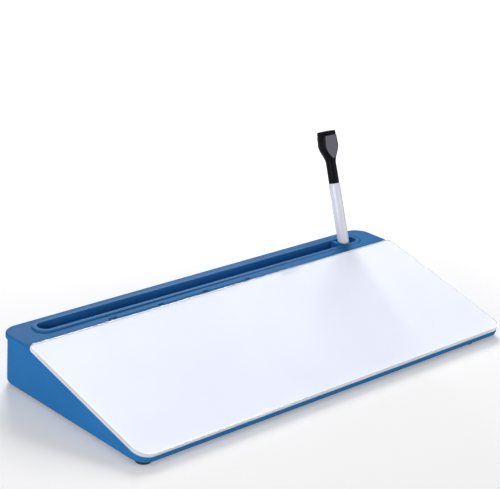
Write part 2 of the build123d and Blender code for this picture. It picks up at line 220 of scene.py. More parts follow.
def edged_grid(points: np.ndarray, outward: np.ndarray, profile: Profile) -> np.ndarray:
    """Sheet's edge: the outline drawn in by each inset of the profile, at that profile's height.

    Args:
        points: Outline, of shape (points, 2).
        outward: Outward directions at those points.
        profile: Inset and height of each ring, from the top face round to the bottom one.

    Returns:
        Grid of shape (rings, points, 3).
    """
    inset, height = np.array(profile).T
    plan = points[None] - inset[:, None, None] * outward[None]
    z = np.broadcast_to(height[:, None, None], plan.shape[:2] + (1,))
    return np.concatenate([plan, z], axis=-1)


def mesh_from_grid(
    name: str, grid: np.ndarray, sharp_from: float = SHARP_FROM, second: np.ndarray | None = None
) -> bpy.types.Object:
    """Closed mesh of a grid whose rings close on themselves.

    Each quad joins neighbours on one ring to the same two on the next ring. A face covers each end
    ring, unless the last ring comes back to the first, as on a tube.

    Args:
        name: Name of the piece.
        grid: Points of shape (rings, sides, 3).
        sharp_from: Angle in degrees from which an edge stays sharp.
        second: Share of the piece's second finish at each point, of shape (rings, sides).

    Returns:
        The piece's object, linked to the scene.
    """
    rings, sides = grid.shape[:2]
    index = np.arange(rings * sides).reshape(rings, sides)
    near, far = index[:-1], index[1:]
    quads = np.stack([near, np.roll(near, -1, 1), np.roll(far, -1, 1), far], axis=-1)
    is_tube = np.allclose(grid[0], grid[-1], rtol=0, atol=SAME_PLACE)
    ends = [] if is_tube else [index[0][::-1].tolist(), index[-1].tolist()]
    mesh = bpy.data.meshes.new(name)
    mesh.from_pydata(grid.reshape(-1, 3).tolist(), [], quads.reshape(-1, 4).tolist() + ends)
    if second is not None:
        shares = mesh.attributes.new(SECOND_FINISH, "FLOAT", "POINT")
        shares.data.foreach_set("value", second.astype(np.float32).ravel())
    return finished_object(name, mesh, sharp_from)


def finished_object(name: str, mesh: bpy.types.Mesh, sharp_from: float) -> bpy.types.Object:
    """Object of a mesh, after doubles are merged, faces turned outward and shading set.

    Args:
        name: Name of the piece.
        mesh: Its mesh, with its place in it.
        sharp_from: Angle in degrees from which an edge stays sharp.

    Returns:
        The object, linked to the scene.
    """
    work = bmesh.new()
    work.from_mesh(mesh)
    bmesh.ops.remove_doubles(work, verts=work.verts, dist=SAME_PLACE)
    bmesh.ops.recalc_face_normals(work, faces=work.faces)
    work.to_mesh(mesh)
    work.free()
    mesh.polygons.foreach_set("use_smooth", [True] * len(mesh.polygons))
    mesh.set_sharp_from_angle(angle=radians(sharp_from))
    piece = bpy.data.objects.new(name, mesh)
    bpy.context.scene.collection.objects.link(piece)
    return piece


@dataclass(frozen=True)
class Place:
    """Where a piece stands: an origin and the directions of its own three axes."""

    origin: Vector
    x: Vector
    y: Vector
    z: Vector

    def put(self, grid: np.ndarray) -> np.ndarray:
        """Grid moved from the piece's own axes to the frame's: origin plus each axis times its value.

        Args:
            grid: Points in the piece's own axes.

        Returns:
            The same points in the frame's axes.
        """
        turn = np.array([self.x, self.y, self.z])
        return grid @ turn + np.array(self.origin)


def box_middle(node: str) -> Vector:
    """Middle of a node's box."""
    low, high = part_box(node)
    return (Vector(low) + Vector(high)) / 2


# Finishes


def ranged(
    tree: bpy.types.NodeTree,
    value: bpy.types.NodeSocket,
    low: float,
    high: float,
    known: tuple[float, float] = (0, 1),
) -> bpy.types.NodeSocket:
    """Value brought from one range to another.

    Args:
        tree: Node tree that the node is added to.
        value: The value.
        low: What the low end of the known range becomes.
        high: What its high end becomes.
        known: Range that the value is in.

    Returns:
        The value in the new range.
    """
    rescale = tree.nodes.new("ShaderNodeMapRange")
    rescale.inputs["From Min"].default_value = known[0]
    rescale.inputs["From Max"].default_value = known[1]
    rescale.inputs["To Min"].default_value = low
    rescale.inputs["To Max"].default_value = high
    tree.links.new(value, rescale.inputs["Value"])
    return rescale.outputs["Result"]


class NodeBoard:
    """Adds and joins the nodes of one material."""

    # Range that most values of a noise lie in
    noise_middle = (0.3, 0.7)

    def __init__(self, name: str) -> None:
        """Starts a material with an output and one principled shader."""
        self.material = bpy.data.materials.new(name)
        self.material.use_nodes = True
        self.tree = self.material.node_tree
        self.tree.nodes.clear()
        self.output = self.node("ShaderNodeOutputMaterial")
        self.shader = self.node("ShaderNodeBsdfPrincipled")
        self.join(self.shader.outputs["BSDF"], self.output.inputs["Surface"])
        self.coordinates = self.node("ShaderNodeTexCoord").outputs["Object"]

    def node(self, kind: str, **settings: object) -> bpy.types.Node:
        """New node of a kind, with its settings."""
        made = self.tree.nodes.new(kind)
        for key, value in settings.items():
            setattr(made, key, value)
        return made

    def join(self, source: bpy.types.NodeSocket, target: bpy.types.NodeSocket) -> None:
        """Links one socket to another."""
        self.tree.links.new(source, target)

    def set(self, **values: object) -> None:
        """Sets the shader's own sockets; an underscore in a name stands for a space."""
        for key, value in values.items():
            self.shader.inputs[key.replace("_", " ")].default_value = value

    def stretched(self, stretch: tuple[float, float, float]) -> bpy.types.NodeSocket:
        """Object coordinates scaled along each axis, for a pattern that is long one way."""
        mapping = self.node("ShaderNodeMapping")
        mapping.inputs["Scale"].default_value = stretch
        self.join(self.coordinates, mapping.inputs["Vector"])
        return mapping.outputs["Vector"]

    def noise(
        self, size: float, detail: float = 2, where: bpy.types.NodeSocket | None = None
    ) -> bpy.types.NodeSocket:
        """Noise whose patches are about a size across.

        Args:
            size: Size of a patch in metres.
            detail: Number of finer layers.
            where: Coordinates, the object's own if none are given.

        Returns:
            The noise's value, about 0 to 1.
        """
        texture = self.node("ShaderNodeTexNoise")
        texture.inputs["Scale"].default_value = 1 / size
        texture.inputs["Detail"].default_value = detail
        self.join(where or self.coordinates, texture.inputs["Vector"])
        return texture.outputs["Fac"]

    def second_finish(self, first: float, second: float) -> bpy.types.NodeSocket:
        """Value that runs from one number to another with the share of the piece's second finish."""
        share = self.node("ShaderNodeAttribute", attribute_name=SECOND_FINISH).outputs["Fac"]
        return ranged(self.tree, share, first, second)

    def spread(self, value: bpy.types.NodeSocket, low: float, high: float) -> bpy.types.NodeSocket:
        """Value of a noise stretched from its middle part to the range between two numbers."""
        return ranged(self.tree, value, low, high, self.noise_middle)

    def tint(self, value: bpy.types.NodeSocket, colour: Colour, spread: float) -> None:
        """Base colour that runs from darker to lighter than a colour as a noise rises.

        Args:
            value: The noise.
            colour: Middle colour.
            spread: Share by which the two ends differ from it.
        """
        mix = self.node("ShaderNodeMix", data_type="RGBA")
        self.join(self.spread(value, 0, 1), mix.inputs["Factor"])
        for socket, share in (("A", 1 - spread), ("B", 1 + spread)):
            mix.inputs[socket].default_value = (*(min(part * share, 1) for part in colour), 1)
        self.join(mix.outputs["Result"], self.shader.inputs["Base Color"])

    def overlay(self, colour: Colour) -> None:
        """Brings the base colour to another one where the piece has its second finish; on the cap's
        flats this paints a lighter sheen.
        """
        base = self.shader.inputs["Base Color"]
        mix = self.node("ShaderNodeMix", data_type="RGBA")
        self.join(self.second_finish(0, 1), mix.inputs["Factor"])
        self.join(base.links[0].from_socket, mix.inputs["A"])
        mix.inputs["B"].default_value = (*colour, 1)
        self.join(mix.outputs["Result"], base)

    def roughen(self, value: bpy.types.NodeSocket, low: float, high: float) -> None:
        """Roughness that follows a noise between two numbers."""
        self.join(self.spread(value, low, high), self.shader.inputs["Roughness"])

    def relief(self, value: bpy.types.NodeSocket, depth: float, strength: float = 1) -> None:
        """Bump of a height in metres that follows a noise, added to any earlier one."""
        bump = self.node("ShaderNodeBump")
        bump.inputs["Distance"].default_value = depth
        bump.inputs["Strength"].default_value = strength
        self.join(value, bump.inputs["Height"])
        normal = self.shader.inputs["Normal"]
        if normal.is_linked:
            self.join(normal.links[0].from_socket, bump.inputs["Normal"])
        self.join(bump.outputs["Normal"], normal)


class Finish(ABC):
    """Finish of a piece; each kind sets and joins the nodes of a material in its own way."""

    def made(self, name: str) -> bpy.types.Material:
        """Material of this finish.

        Args:
            name: Name of the material.

        Returns:
            The material.
        """
        board = NodeBoard(name)
        self.dress(board)
        return board.material

    @abstractmethod
    def dress(self, board: NodeBoard) -> None:
        """Sets and joins the nodes of a material."""


@dataclass(frozen=True)
class MouldedPlastic(Finish):
    """Moulded plastic: a fine grain from the tool, and a slow drift of tone and gloss."""

    colour: Colour
    low_gloss: float = 0.5
    high_gloss: float = 0.4
    grain: float = 0.7 * MM
    grain_depth: float = 0.03 * MM
    grains_in_gloss_patch: float = 3
    drift: float = 0.06
    drift_size: float = 45 * MM
    sink_size: float = 30 * MM
    sink_depth: float = 0.15 * MM
    sink_strength: float = 0.5
    specular: float = 0.5
    # Lighter colour over the second finish's share: a painted sheen that stands in for light the
    # surface catches
    painted_sheen_colour: Colour | None = None

    def dress(self, board: NodeBoard) -> None:
        """Grain over shallow sinks; the painted sheen colour, where there is one, lies over the first
        as a painted highlight.
        """
        board.set(Specular_IOR_Level=self.specular)
        board.tint(board.noise(self.drift_size, detail=3), self.colour, self.drift)
        if self.painted_sheen_colour:
            board.overlay(self.painted_sheen_colour)
        gloss_size = self.grain * self.grains_in_gloss_patch
        board.roughen(board.noise(gloss_size), self.high_gloss, self.low_gloss)
        board.relief(board.noise(self.grain), self.grain_depth)
        board.relief(board.noise(self.sink_size, detail=1), self.sink_depth, self.sink_strength)


@dataclass(frozen=True)
class PolishedGlass(Finish):
    """Clear float glass with the faintest wiping marks; its second finish is a ground, milky edge."""

    colour: Colour = (0.95, 0.975, 0.985)
    tone_size: float = 80 * MM
    tone_drift: float = 0.01
    polish: float = 0.01
    smear: float = 0.06
    smear_size: float = 14 * MM
    smear_stretch: tuple[float, float, float] = (0.25, 1, 1)
    edge_clearness: float = 0.3
    refraction: float = 1.5

    def dress(self, board: NodeBoard) -> None:
        """Glass that light from the lamps passes straight through, so it casts no hard shadow."""
        board.set(IOR=self.refraction)
        clearness = board.second_finish(1, self.edge_clearness)
        board.join(clearness, board.shader.inputs["Transmission Weight"])
        board.tint(board.noise(self.tone_size), self.colour, self.tone_drift)
        marks = board.noise(self.smear_size, detail=4, where=board.stretched(self.smear_stretch))
        board.roughen(marks, self.polish, self.smear)
        see_through = board.node("ShaderNodeBsdfTransparent")
        rays = board.node("ShaderNodeLightPath")
        mix = board.node("ShaderNodeMixShader")
        board.join(rays.outputs["Is Shadow Ray"], mix.inputs["Fac"])
        board.join(board.shader.outputs["BSDF"], mix.inputs[1])
        board.join(see_through.outputs["BSDF"], mix.inputs[2])
        board.join(mix.outputs["Shader"], board.output.inputs["Surface"])


@dataclass(frozen=True)
class PaintedBacking(Finish):
    """Opaque white coating behind the glass, with the slight cloudiness of a sprayed coat."""

    colour: Colour
    cloud: float = 0.012
    cloud_size: float = 60 * MM
    low_gloss: float = 0.62
    high_gloss: float = 0.5
    gloss_size: float = 5 * MM
    peel_size: float = 2.5 * MM
    peel_depth: float = 0.02 * MM
    specular: float = 0.08

    def dress(self, board: NodeBoard) -> None:
        """Clouded colour, and the fine orange peel of a sprayed coat."""
        board.tint(board.noise(self.cloud_size, detail=4), self.colour, self.cloud)
        board.roughen(board.noise(self.gloss_size, detail=3), self.high_gloss, self.low_gloss)
        board.set(Specular_IOR_Level=self.specular)
        board.relief(board.noise(self.peel_size, detail=3), self.peel_depth)


@dataclass(frozen=True)
class DrawnSteel(Finish):
    """Steel drawn through a die: fine lines along X."""

    colour: Colour = (0.62, 0.63, 0.65)
    contrast: float = 0.08
    low_gloss: float = 0.38
    high_gloss: float = 0.22
    line_width: float = 0.25 * MM
    line_depth: float = 0.01 * MM
    line_stretch: tuple[float, float, float] = (0.02, 1, 1)

    def dress(self, board: NodeBoard) -> None:
        """Tone, gloss and relief all follow the drawn lines."""
        board.set(Metallic=1)
        lines = board.noise(self.line_width, detail=3, where=board.stretched(self.line_stretch))
        board.tint(lines, self.colour, self.contrast)
        board.roughen(lines, self.high_gloss, self.low_gloss)
        board.relief(lines, self.line_depth)


@dataclass(frozen=True)
class Rubber(Finish):
    """Dull black rubber with dust in its pores."""

    colour: Colour = (0.02, 0.02, 0.022)
    dust: float = 0.35
    dust_size: float = 1.5 * MM
    low_gloss: float = 0.9
    high_gloss: float = 0.7
    gloss_size: float = 0.8 * MM
    pore_size: float = 0.4 * MM
    pore_depth: float = 0.05 * MM
    specular: float = 0.3

    def dress(self, board: NodeBoard) -> None:
        """Dusty tone over fine pores."""
        board.set(Specular_IOR_Level=self.specular)
        board.tint(board.noise(self.dust_size, detail=5), self.colour, self.dust)
        board.roughen(board.noise(self.gloss_size, detail=3), self.high_gloss, self.low_gloss)
        board.relief(board.noise(self.pore_size, detail=3), self.pore_depth)


@dataclass(frozen=True)
class PressedFibre(Finish):
    """Felt or fibre: short strands pressed together, with a soft sheen at the edges."""

    colour: Colour
    contrast: float = 0.5
    low_gloss: float = 1
    high_gloss: float = 0.85
    strand: float = 0.35 * MM
    strand_depth: float = 0.15 * MM
    strand_stretch: tuple[float, float, float] = (0.35, 1, 1)
    lump_size: float = 2.2 * MM
    lump_depth: float = 0.25 * MM
    lump_strength: float = 0.6
    sheen: float = 0.3
    sheen_spread: float = 0.6
    specular: float = 0.03

    def dress(self, board: NodeBoard) -> None:
        """Tone, gloss and relief follow the strands, over the lumps of the pressed felt."""
        board.set(Sheen_Weight=self.sheen, Sheen_Roughness=self.sheen_spread)
        board.set(Specular_IOR_Level=self.specular)
        strands = board.noise(self.strand, detail=5, where=board.stretched(self.strand_stretch))
        board.tint(strands, self.colour, self.contrast)
        board.roughen(strands, self.high_gloss, self.low_gloss)
        board.relief(strands, self.strand_depth)
        board.relief(board.noise(self.lump_size), self.lump_depth, self.lump_strength)


@dataclass(frozen=True)
class AdhesiveFilm(Finish):
    """Milky bonding film with small trapped bubbles."""

    colour: Colour = (0.8, 0.8, 0.78)
    cloud: float = 0.06
    cloud_size: float = 3 * MM
    low_gloss: float = 0.6
    high_gloss: float = 0.35
    gloss_size: float = 2 * MM
    bubble_size: float = 1.2 * MM
    bubble_depth: float = 0.04 * MM

    def dress(self, board: NodeBoard) -> None:
        """Clouded colour over the bubbles."""
        board.tint(board.noise(self.cloud_size, detail=4), self.colour, self.cloud)
        board.roughen(board.noise(self.gloss_size), self.high_gloss, self.low_gloss)
        board.relief(board.noise(self.bubble_size), self.bubble_depth)


BLUE = (0.028, 0.17, 0.43)
BLACK = (0.008, 0.008, 0.01)
WHITE = (0.84, 0.85, 0.95)
FINE_MATT = 0.008

FINISHES: dict[str, Finish] = {
    "tray plastic": MouldedPlastic(BLUE, specular=FINE_MATT),
    "trough plastic": MouldedPlastic(
        BLUE, low_gloss=0.45, high_gloss=0.34, grain=0.5 * MM, specular=FINE_MATT
    ),
    "hinge plastic": MouldedPlastic(BLUE, grain=0.4 * MM, specular=FINE_MATT),
    "black plastic": MouldedPlastic(BLACK, low_gloss=0.36, high_gloss=0.26, grain=0.4 * MM),
    # The cap's flats are painted a lighter grey: a painted sheen in place of the light they catch
    "cap plastic": MouldedPlastic(
        BLACK, low_gloss=0.34, high_gloss=0.26, grain=0.5 * MM, grain_depth=0.02 * MM, drift=0.1,
        specular=0.04, painted_sheen_colour=(0.17, 0.165, 0.215)
    ),
    "white plastic": MouldedPlastic(
        WHITE, low_gloss=0.3, high_gloss=0.2, grain=0.5 * MM, grain_depth=0.01 * MM, drift=0.01
    ),
    "glass": PolishedGlass(),
    "backing": PaintedBacking((0.79, 0.795, 0.915)),
    "tape": AdhesiveFilm(),
    "pin steel": DrawnSteel(),
    "foot rubber": Rubber(),
    "reservoir fibre": PressedFibre((0.12, 0.12, 0.14), sheen=0.1),
    "nib felt": PressedFibre((0.03, 0.03, 0.04), strand=0.2 * MM, sheen=0.1),
    "eraser felt": PressedFibre((0.009, 0.009, 0.011), sheen=0.03),
}


class FinishShelf:
    """Keeps one material for each finish and puts it on pieces and nodes."""

    def __init__(self, frame: dict) -> None:
        """Takes the frame, whose record names each node's slot."""
        self.nodes = frame["nodes"]
        self.slots = {part["node"]: part["material_slot"] for part in frame["record"]["subparts"]}
        self.materials = {
            slot: finish.made(slot.replace(" ", "_")) for slot, finish in FINISHES.items()
        }

    def dress_nodes(self) -> None:
        """Gives every node of the frame the material of its slot."""
        for name, node in self.nodes.items():
            node.data.materials.clear()
            node.data.materials.append(self.materials[self.slots[name]])

    def stand_in(self, piece: bpy.types.Object, node: str, body: Body) -> None:
        """Dresses a piece as the node that it replaces, and makes it ride on a body.

        Args:
            piece: The new piece.
            node: The node that it stands for.
            body: The body that it moves with.
        """
        slot = self.slots[node]
        piece.data.materials.append(self.materials[slot])
        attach(piece, body.value)
        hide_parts(node)
        LOG.info("%s stands for %s on %s", piece.name, node, body.value)


@dataclass(frozen=True)
class GlassLid:
    """Glass sheet of the lid: round corners and a polished edge."""

    width: float = 380 * MM
    depth: float = 136 * MM
    thickness: float = 2.8 * MM
    front_radius: float = 12.5 * MM
    rear_radius: float = 5 * MM
    arris: float = 0.7 * MM
    support: float = 0.5 * MM
    air_gap: float = 0.04 * MM
    tilt: float = 14.2
    corner_steps: int = 16

    def place(self) -> Place:
        """Middle of the sheet's lower front edge, with Y up the slope and Z out of the glass."""
        slope = radians(self.tilt)
        up_slope = Vector((0, cos(slope), sin(slope)))
        out = Vector((0, -sin(slope), cos(slope)))
        origin = box_middle("glass_panel") - up_slope * self.depth / 2 - out * self.thickness / 2
        return Place(origin, Vector((1, 0, 0)), up_slope, out)

    def edge_profile(self) -> Profile:
        """Inset and height round the edge: flat, a round arris, the side and a round arris."""
        top, bottom = self.thickness, self.air_gap
        upper = arc((self.arris, top - self.arris), self.arris, 90, 180, FINE)
        lower = arc((self.arris, bottom + self.arris), self.arris, 180, 270, FINE)
        inner = self.arris + self.support
        return [(inner, top), *upper, *lower, (inner, bottom)]

    def build(self, shelf: FinishShelf) -> None:
        """Makes the sheet and lets it stand for the node."""
        radii = self.front_radius, self.rear_radius
        outline = rounded_outline(self.width, self.depth, *radii, self.corner_steps)
        grid = self.place().put(edged_grid(*outline, self.edge_profile()))
        inset = np.array(self.edge_profile())[:, 0]
        ground = np.clip(1 - inset / self.arris, 0, 1)[:, None].repeat(grid.shape[1], axis=1)
        sheet = mesh_from_grid("glass_sheet", grid, second=ground)
        shelf.stand_in(sheet, "glass_panel", Body.LID)


@dataclass(frozen=True)
class Marker:
    """Dry-erase marker: turned pieces along its leaning axis, measured from its tail end."""

    lean: float = 19
    radius: float = 4.9 * MM
    tube_wall: float = 1 * MM
    tail: float = 9 * MM
    spigot: float = 8 * MM
    tube: float = 62 * MM
    reservoir_radius: float = 3.4 * MM
    plug: float = 8 * MM
    post_radius: float = 3.3 * MM
    post: float = 6.5 * MM
    cone_radius: float = 2.4 * MM
    cone: float = 7 * MM
    nib_radius: float = 1.5 * MM
    nib_reach: float = 4 * MM
    fit: float = 0.05 * MM
    mouth_radius: float = 4.5 * MM
    neck_radius: float = 4.4 * MM
    neck: float = 17.5 * MM
    head_radius: float = 9 * MM
    head: float = 33 * MM
    top_radius: float = 8.5 * MM
    cap: float = 41.2 * MM
    flat_half_width: float = 5.1 * MM
    flat_softness: float = 0.22 * MM
    flat_border: float = 0.3 * MM
    cap_sharp_from: float = 32
    bore_margin: float = 1.5 * MM
    felt: float = 3.6 * MM
    felt_inset: float = 0.4 * MM
    felt_softness: float = 0.3 * MM
    lip: float = 0.35 * MM
    bead: float = 0.2 * MM
    end_face: float = 0.4 * MM
    bore_end_face: float = 0.2 * MM
    tip_face: float = 0.3 * MM
    flare_steps: int = 24
    round_steps: int = 8
    sides: int = 96

    def place(self) -> Place:
        """Tail end of the axis: half the tube and the tail below the tube's middle."""
        lean = radians(self.lean)
        axis = Vector((0, sin(lean), cos(lean)))
        origin = box_middle("marker_barrel") - axis * (self.tail + self.tube / 2)
        return Place(origin, Vector((1, 0, 0)), Vector((0, cos(lean), -sin(lean))), axis)

    @property
    def tube_end(self) -> float:
        """Distance of the tube's front end from the tail."""
        return self.tail + self.tube

    @property
    def nib_tip(self) -> float:
        """Distance of the nib's tip from the tail."""
        return self.tube_end + self.post + self.cone + self.nib_reach

    @property
    def bore_radius(self) -> float:
        """Radius of the tube's bore."""
        return self.radius - self.tube_wall

    def tail_profile(self) -> Profile:
        """Round-edged plug with a collar groove, and the spigot that sits in the tube."""
        edge, groove = 0.8 * MM, 0.25 * MM
        collar, groove_side, groove_floor = 0.7 * MM, 0.2 * MM, 0.3 * MM
        spigot_radius = self.bore_radius - self.fit
        groove_end = self.tail - collar
        floor_end = groove_end - groove_side
        floor_start = floor_end - groove_floor
        return [
            (self.end_face, 0),
            *arc((self.radius - edge, edge), edge, -90, 0, FINE),
            (self.radius, floor_start - groove_side),
            (self.radius - groove, floor_start),
            (self.radius - groove, floor_end),
            (self.radius, groove_end),
            (self.radius, self.tail),
            (spigot_radius, self.tail),
            (spigot_radius, self.tail + self.spigot),
            (self.end_face, self.tail + self.spigot),
        ]

    def tube_profile(self) -> Profile:
        """Wall of the tube, with rounded lips at both ends."""
        outer, inner, lip = self.radius, self.bore_radius, self.lip
        return [
            (inner, self.tail + lip),
            *arc((inner + lip, self.tail + lip), lip, 180, 270, COARSE),
            *arc((outer - lip, self.tail + lip), lip, 270, 360, COARSE),
            *arc((outer - lip, self.tube_end - lip), lip, 0, 90, COARSE),
            *arc((inner + lip, self.tube_end - lip), lip, 90, 180, COARSE),
            (inner, self.tail + lip),
        ]

    def reservoir_profile(self) -> Profile:
        """Round-edged fibre rod."""
        start, end, edge = self.tail + self.spigot, self.tube_end - self.plug, 0.5 * MM
        return [
            (self.end_face, start),
            *arc((self.reservoir_radius - edge, start + edge), edge, -90, 0, COARSE),
            *arc((self.reservoir_radius - edge, end - edge), edge, 0, 90, COARSE),
            (self.end_face, end),
        ]

    def nib_section_profile(self) -> Profile:
        """Plug in the tube, the post that holds the cap, and the cone round the nib."""
        start, end = self.tube_end - self.plug, self.tube_end + self.post
        plug_radius, bore = self.bore_radius - self.fit, self.nib_radius + self.fit
        bead, side = self.bead, self.post_radius - self.bead
        cone_end = end + self.cone
        return [
            (bore, start),
            (plug_radius, start),
            (plug_radius, self.tube_end),
            (side, self.tube_end),
            *arc((side, self.tube_end + self.post / 2), bead, -90, 90, self.round_steps),
            (side, end - bead),
            *arc((side - bead, end - bead), bead, 0, 60, COARSE - 1),
            (self.cone_radius, cone_end - bead),
            *arc((self.cone_radius - bead, cone_end - bead), bead, 0, 90, COARSE),
            (bore, cone_end),
            (bore, start),
        ]

    def nib_profile(self) -> Profile:
        """Rod of felt with a domed tip."""
        start = self.tube_end - self.plug
        dome, dome_end = 1.1 * MM, 84
        top = (self.nib_radius - dome, self.nib_tip - dome)
        return [
            (self.tip_face, start),
            (self.nib_radius, start),
            *arc(top, dome, 0, dome_end, self.round_steps),
        ]

    def flare(self) -> Profile:
        """Cap's flare: radius eases from neck to head as 3 s squared less 2 s cubed."""
        share = np.linspace(0, 1, self.flare_steps + 1)
        eased = share * share * (3 - 2 * share)
        radius = self.neck_radius + (self.head_radius - self.neck_radius) * eased
        height = self.tube_end + self.neck + share * (self.head - self.neck)
        return list(zip(radius.tolist(), height.tolist()))

    def cap_outer_profile(self) -> Profile:
        """Mouth, stem, flare and head of the cap, with a rounded mouth and top edge."""
        end, edge = self.tube_end + self.cap, 0.5 * MM
        mouth_edge, rim_width = 0.3 * MM, 1 * MM
        taper = 10
        mouth = (self.mouth_radius - mouth_edge, self.tube_end + mouth_edge)
        return [
            *arc(mouth, mouth_edge, -90, 0, COARSE),
            *self.flare(),
            *arc((self.top_radius - edge, end - edge), edge, taper, 90, FINE),
            (self.top_radius - rim_width, end),
            (self.end_face, end),
        ]

    def cap_bore_profile(self) -> Profile:
        """Bore of the cap, from its blind end out to the mouth."""
        shoulder = self.tube_end + self.post
        cone_bore, post_bore = self.cone_radius + self.fit, self.post_radius + self.fit
        chamfer = 0.2 * MM
        return [
            (self.bore_end_face, self.nib_tip + self.bore_margin - chamfer),
            (cone_bore, self.nib_tip),
            (cone_bore, shoulder + self.cone),
            (post_bore, shoulder),
            (post_bore, self.tube_end + chamfer),
            (post_bore + chamfer, self.tube_end),
        ]

    def cap_grid(self) -> tuple[np.ndarray, np.ndarray]:
        """Bore as turned, then the outside pressed between its two flats.

        Returns:
            The grid, and the share of the painted sheen on the flats at each point: 1 where the
            turned form reached past the flat by more than its border.
        """
        bore = turned_grid(self.cap_bore_profile(), self.sides)
        outside = turned_grid(self.cap_outer_profile(), self.sides)
        pressed = pressed_flat(outside, self.flat_half_width, self.flat_softness)
        reach = np.abs(outside[..., 1]) - self.flat_half_width
        shares = np.concatenate([np.zeros(bore.shape[:2]), np.clip(reach / self.flat_border, 0, 1)])
        return np.concatenate([bore, pressed]), shares

    def felt_grid(self) -> np.ndarray:
        """Felt pad: rounded sides that swell a little, pressed between its own two flats."""
        start = self.tube_end + self.cap
        end = start + self.felt
        radius = self.top_radius - self.felt_inset
        lower_edge, upper_edge = 0.4 * MM, 0.9 * MM
        sole, crown = radius - 0.5 * MM, radius - 2 * MM
        profile = [
            (self.end_face, start),
            (sole, start),
            *arc((radius - lower_edge, start + lower_edge), lower_edge, -90, 0, COARSE - 1),
            *arc((radius - upper_edge, end - upper_edge), upper_edge, 0, 90, FINE),
            (crown, end),
            (self.end_face, end),
        ]
        half_width = self.flat_half_width - self.felt_inset
        return pressed_flat(turned_grid(profile, self.sides), half_width, self.felt_softness)

    def build(self, shelf: FinishShelf) -> None:
        """Makes the marker's pieces and lets each stand for its node."""
        place = self.place()
        turned = (
            ("marker_tail", self.tail_profile(), "marker_tail_plug"),
            ("marker_tube", self.tube_profile(), "marker_barrel"),
            ("marker_reservoir", self.reservoir_profile(), "ink_reservoir"),
            ("marker_nib_holder", self.nib_section_profile(), "nib_section"),
            ("marker_nib", self.nib_profile(), "nib"),
        )
        for name, profile, node in turned:
            grid = place.put(turned_grid(profile, self.sides))
            shelf.stand_in(mesh_from_grid(name, grid), node, Body.MARKER)
        # flats holds the share of the painted sheen, a lighter grey on the cap's flats
        cap_grid, flats = self.cap_grid()
        cap = mesh_from_grid("cap_shell", place.put(cap_grid), self.cap_sharp_from, flats)
        shelf.stand_in(cap, "marker_cap", Body.CAP)
        felt = mesh_from_grid("felt_pad", place.put(self.felt_grid()))
        shelf.stand_in(felt, "eraser_felt", Body.CAP)


@dataclass(frozen=True)
class Feet:
    """Four rubber feet, each a turned button with a ring moulded round its sole."""

    radius: float = 6 * MM
    height: float = 3.5 * MM
    edge: float = 0.7 * MM
    dish: float = 0.25 * MM
    end_face: float = 0.4 * MM
    sides: int = 64
    corners: tuple[str, ...] = ("front_left", "front_right", "rear_left", "rear_right")

    def profile(self) -> Profile:
        """Sole with a shallow dish, a rounded edge, the side and the flat seat."""
        dish_radius = self.radius - 2 * self.edge
        return [
            (self.end_face, self.dish),
            (dish_radius - self.dish, self.dish),
            (dish_radius, 0),
            *arc((self.radius - self.edge, self.edge), self.edge, -90, 0, FINE),
            (self.radius, self.height),
            (self.end_face, self.height),
        ]

    def build(self, shelf: FinishShelf) -> None:
        """Makes each foot where its node is."""
        for corner in self.corners:
            node = f"foot_{corner}"
            origin = box_middle(node) - Vector((0, 0, self.height / 2))
            place = Place(origin, Vector((1, 0, 0)), Vector((0, 1, 0)), Vector((0, 0, 1)))
            grid = place.put(turned_grid(self.profile(), self.sides))
            shelf.stand_in(mesh_from_grid(f"foot_pad_{corner}", grid), node, Body.TRAY)


@dataclass(frozen=True)
class HingePin:
    """Drawn steel pin of the hinge, with bevelled ends."""

    radius: float = 1.25 * MM
    bevel: float = 0.25 * MM
    end_face: float = 0.2 * MM
    sides: int = 32
    sharp_from: float = 30

    def build(self, shelf: FinishShelf) -> None:
        """Makes the pin along X where its node is."""
        low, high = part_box("hinge_pin")
        length = high[0] - low[0]
        origin = box_middle("hinge_pin") - Vector((length / 2, 0, 0))
        place = Place(origin, Vector((0, 1, 0)), Vector((0, 0, 1)), Vector((1, 0, 0)))
        profile = [
            (self.end_face, 0),
            (self.radius - self.bevel, 0),
            (self.radius, self.bevel),
            (self.radius, length - self.bevel),
            (self.radius - self.bevel, length),
            (self.end_face, length),
        ]
        grid = place.put(turned_grid(profile, self.sides))
        rod = mesh_from_grid("hinge_rod", grid, self.sharp_from)
        shelf.stand_in(rod, "hinge_pin", Body.LID)


# Studio


def looked_at(tree: bpy.types.NodeTree) -> bpy.types.NodeSocket:
    """Value that is 1 for rays that look: from the camera, off a glossy surface or through glass.

    A ray that a matt surface has scattered looks no more, it only carries light: its depth is 1 or
    more, past the half that the depth is held against.

    Args:
        tree: Node tree that the nodes are added to.

    Returns:
        The value, 0 for the rays that only carry light.
    """
    rays = tree.nodes.new("ShaderNodeLightPath").outputs
    unscattered = tree.nodes.new("ShaderNodeMath")
    unscattered.operation = "LESS_THAN"
    unscattered.inputs[1].default_value = 0.5
    tree.links.new(rays["Diffuse Depth"], unscattered.inputs[0])
    seen = rays["Is Camera Ray"]
    for operation, other in (
        ("MAXIMUM", rays["Is Glossy Ray"]),
        ("MAXIMUM", rays["Is Transmission Ray"]),
        ("MULTIPLY", unscattered.outputs["Value"]),
    ):
        step = tree.nodes.new("ShaderNodeMath")
        step.operation = operation
        tree.links.new(seen, step.inputs[0])
        tree.links.new(other, step.inputs[1])
        seen = step.outputs["Value"]
    return seen


@dataclass(frozen=True)
class SoftBox:
    """Square area lamp."""

    name: str
    place: tuple[float, float, float]
    size: float
    power: float
    colour: Colour = (1, 1, 1)

    def hang(self, aim: tuple[float, float, float]) -> None:
        """Puts the lamp in the scene, turned to a point.

        Args:
            aim: The point.
        """
        lamp = bpy.data.lights.new(self.name, "AREA")
        lamp.size = self.size
        lamp.energy = self.power
        lamp.color = self.colour
        holder = bpy.data.objects.new(self.name, lamp)
        holder.location = self.place
        direction = Vector(aim) - Vector(self.place)
        holder.rotation_euler = direction.to_track_quat("-Z", "Y").to_euler()
        bpy.context.scene.collection.objects.link(holder)


